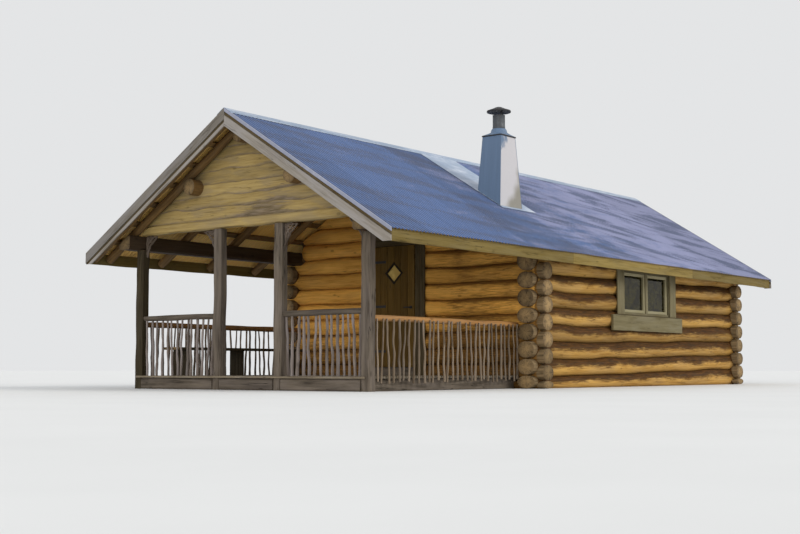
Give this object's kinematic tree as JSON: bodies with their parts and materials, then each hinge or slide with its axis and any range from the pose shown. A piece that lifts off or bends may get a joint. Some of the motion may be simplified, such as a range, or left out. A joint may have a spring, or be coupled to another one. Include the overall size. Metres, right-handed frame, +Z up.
{
  "type": "log cabin",
  "caption": "Log cabin with an open front porch, stick railings, a hinged plank door and a metal chimney under one long corrugated gable roof.",
  "frame": {"origin": "on the ground line, under the middle of the roof", "axes": "X runs along the ridge with the porch at -X and the rear gable at +X, Y runs across with the chimney side at -Y, Z is up"},
  "size_m": [12.42, 6.1, 4.6234],
  "materials": {
    "side_logs": "weathered golden-brown debarked logs with grey ends",
    "porch_logs": "honey-orange debarked logs sheltered by the porch",
    "roof_timber": "bare poles and battens in the shade of the roof",
    "floor_boards": "plain worn floor boards",
    "deck_boards": "greyed deck boards",
    "grey_timber": "silver-grey weathered wood",
    "rail_wood": "newer orange-brown rail with grey sticks",
    "gable_boards": "waney golden-tan boards greying at the foot",
    "barge_boards": "grey-beige weathered boards",
    "fascia_boards": "olive-brown stained board",
    "door_boards": "dark brown stained boards",
    "door_trim": "grey-brown stained boards",
    "window_paint": "faded grey-green paint",
    "roof_metal": "satin blue-grey corrugated sheet",
    "cap_metal": "light blue-grey sheet",
    "stack_metal": "pale blue-grey sheet metal",
    "black_iron": "matte black metal",
    "glass": "clear window glass"
  },
  "bodies": {
    "cabin": {"near_wall": "side_logs", "far_wall": "side_logs", "front_sill_log": "side_logs", "front_wall_near": "porch_logs", "front_wall_far": "porch_logs", "front_gable_logs": "porch_logs", "rear_wall": "side_logs", "room_floor": "floor_boards", "room_sleepers": "roof_timber", "wall_plates": "roof_timber", "roof_purlins": "roof_timber", "rafters": "roof_timber", "battens": "roof_timber", "near_roof_sheets": "roof_metal", "far_roof_sheets": "roof_metal", "ridge_cap": "cap_metal", "bargeboards": "barge_boards", "eave_fascias": "fascia_boards", "porch_posts": "grey_timber", "tie_beam": "gable_boards", "porch_gable": "gable_boards", "porch_deck": "deck_boards", "porch_floor_beams": "grey_timber", "front_railings": "grey_timber", "side_railings": "rail_wood", "post_brackets": "grey_timber", "porch_bench": "deck_boards", "door_frame": "door_trim", "door_sill": "grey_timber", "door_casing": "door_trim", "hinge_pintles": "black_iron", "window_frames": "window_paint", "window_panes": "glass", "window_casings": "window_paint", "window_aprons": "window_paint", "chimney_stack": "stack_metal", "chimney_rim": "black_iron", "chimney_collar": "stack_metal", "chimney_flue": "black_iron", "chimney_cap": "black_iron", "chimney_flashing": "cap_metal"},
    "door": {"door_leaf": "door_boards", "door_pane": "glass", "door_handle": "black_iron", "hinge_straps": "black_iron"}
  },
  "joints": [
    {"name": "door_hinge", "type": "hinge", "parent": "cabin", "child": "door", "pos_m": [-2.1113, 0.586, 1.346], "axis": [0, 0, -1], "range_deg": [0, 100]}
  ]
}
